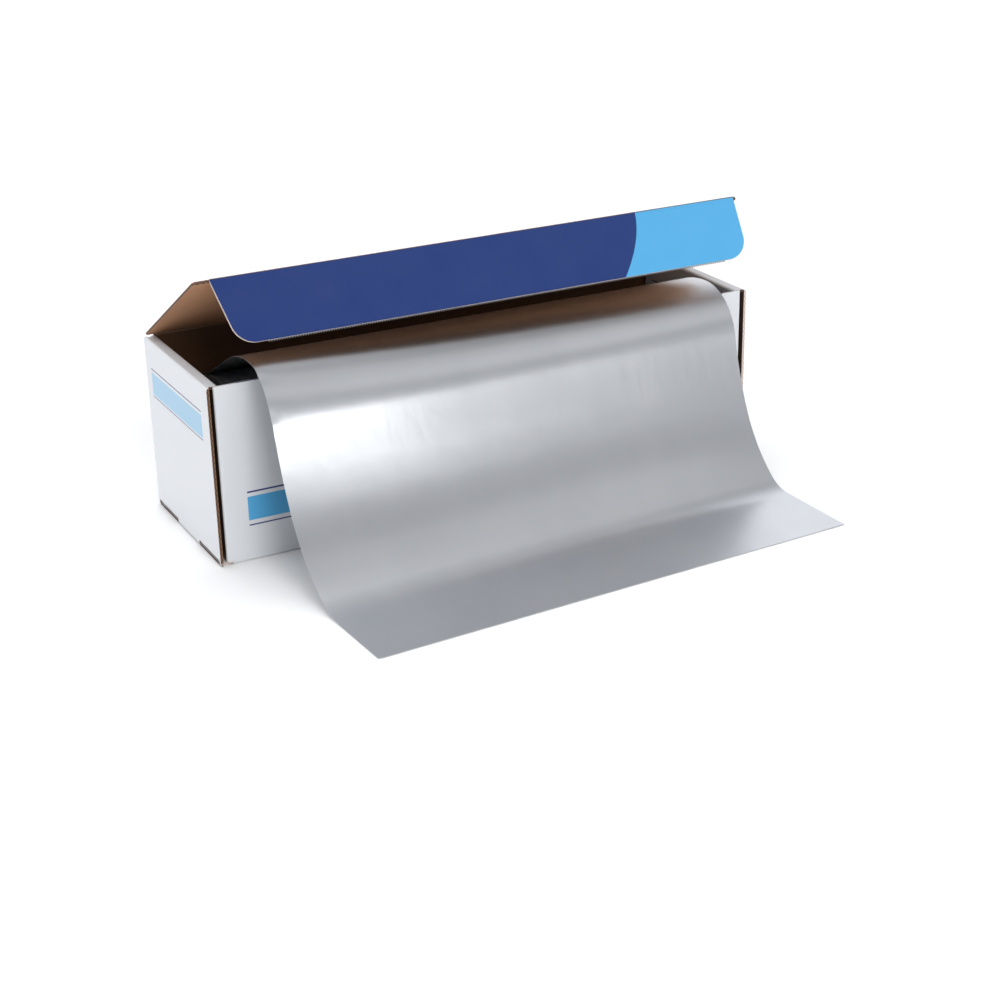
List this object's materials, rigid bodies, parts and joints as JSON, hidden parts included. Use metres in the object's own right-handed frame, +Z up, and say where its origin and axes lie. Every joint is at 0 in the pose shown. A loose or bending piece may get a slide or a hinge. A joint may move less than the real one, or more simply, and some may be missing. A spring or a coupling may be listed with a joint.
{
  "type": "aluminium foil roll",
  "caption": "Roll of aluminium foil in a white corrugated cutter carton, lid part open, with the foil drawn out over the front wall onto the table.",
  "frame": {"origin": "centre of the carton's bottom face, on the surface it stands on", "axes": "+X along the roll to the right as seen from the front, +Y to the back of the carton, +Z up"},
  "size_m": [0.3456, 0.2462, 0.1594],
  "materials": {
    "carton_white": "satin",
    "carton_kraft": "matte",
    "carton_blue": "satin",
    "blade_steel": "satin",
    "core_board": "matte",
    "foil": "satin"
  },
  "bodies": {
    "carton": {"tray": "carton_white", "core": "core_board", "foil_roll": "foil", "foil_sheet": "foil"},
    "lid": {"lid_panel": "carton_kraft"},
    "flap": {"front_flap": "carton_blue", "cutter_blade": "blade_steel"}
  },
  "joints": [
    {"name": "lid_hinge", "type": "hinge", "parent": "carton", "child": "lid", "pos_m": [0, 0.052, 0.1059], "axis": [-1, 0, 0], "range_deg": [-30, 150], "deforming": ["foil_sheet"]},
    {"name": "flap_fold", "type": "hinge", "parent": "lid", "child": "flap", "pos_m": [0, -0.04084, 0.1595], "axis": [-1, 0, 0], "range_deg": [0, 90]}
  ]
}
